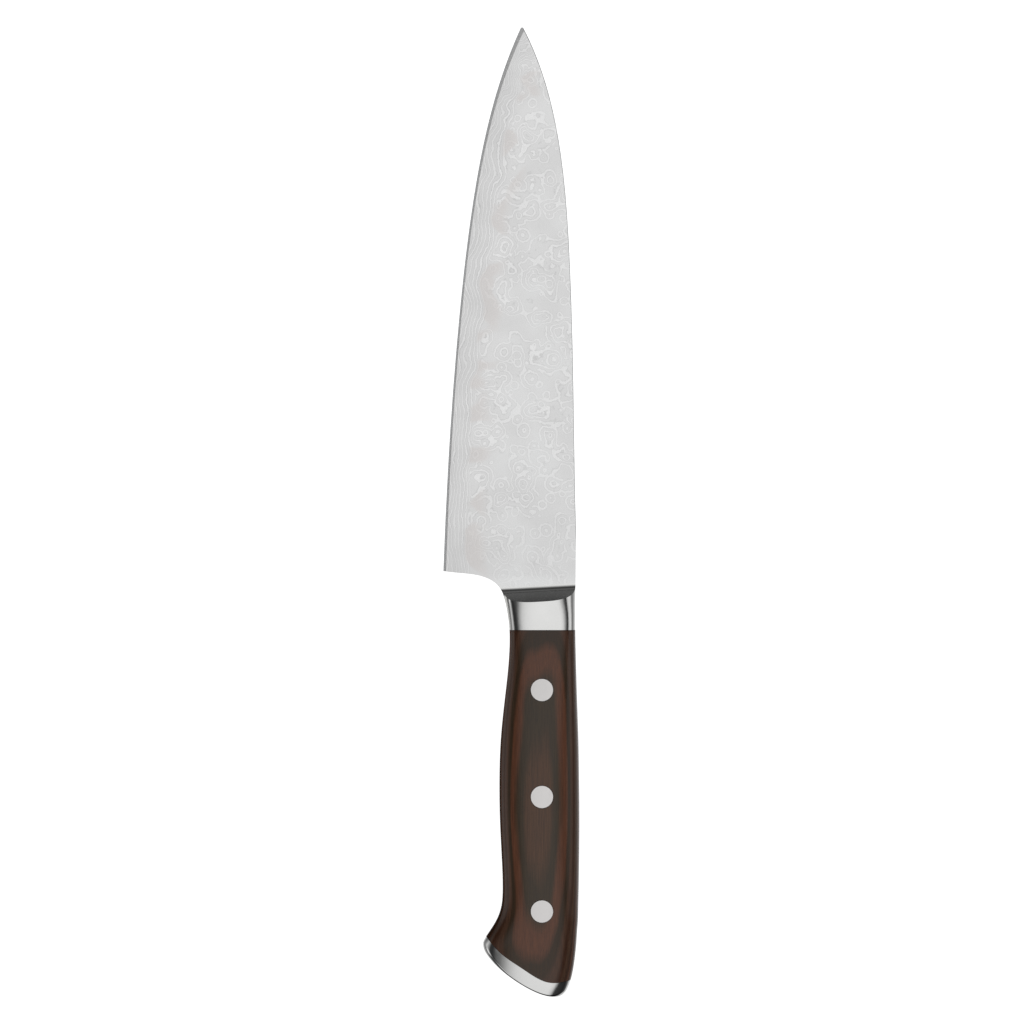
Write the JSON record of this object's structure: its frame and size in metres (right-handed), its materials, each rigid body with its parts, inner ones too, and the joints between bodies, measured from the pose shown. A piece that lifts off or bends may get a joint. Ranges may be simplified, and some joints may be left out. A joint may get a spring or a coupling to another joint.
{
  "type": "chef knife",
  "caption": "Full-tang chef knife with a layered, patterned blade, a polished bolster and end cap, and riveted laminated-wood handle scales.",
  "frame": {"origin": "centre of the middle rivet, on the mid-plane of the tang", "axes": "+Z along the knife from butt to tip, -X the side of the cutting edge and +X the spine, Y through the thickness with the front face towards -Y"},
  "size_m": [0.0464, 0.02, 0.3304],
  "materials": {
    "core_steel": "hardened steel, honed along the edge",
    "patterned_steel": "etched layered steel, satin",
    "polished_steel": "mirror polished stainless steel",
    "tang_steel": "satin stainless steel",
    "laminated_wood": "dyed laminated hardwood, polished, dark red-brown",
    "rivet_metal": "satin, ground flush"
  },
  "bodies": {
    "root": {"core_steel": "core_steel", "cladding_front": "patterned_steel", "cladding_back": "patterned_steel", "bolster": "polished_steel", "end_cap": "polished_steel", "tang": "tang_steel", "scale_front": "laminated_wood", "scale_back": "laminated_wood", "rivet_fore_female": "rivet_metal", "rivet_fore_male": "rivet_metal", "rivet_mid_female": "rivet_metal", "rivet_mid_male": "rivet_metal", "rivet_aft_female": "rivet_metal", "rivet_aft_male": "rivet_metal"}
  },
  "joints": []
}
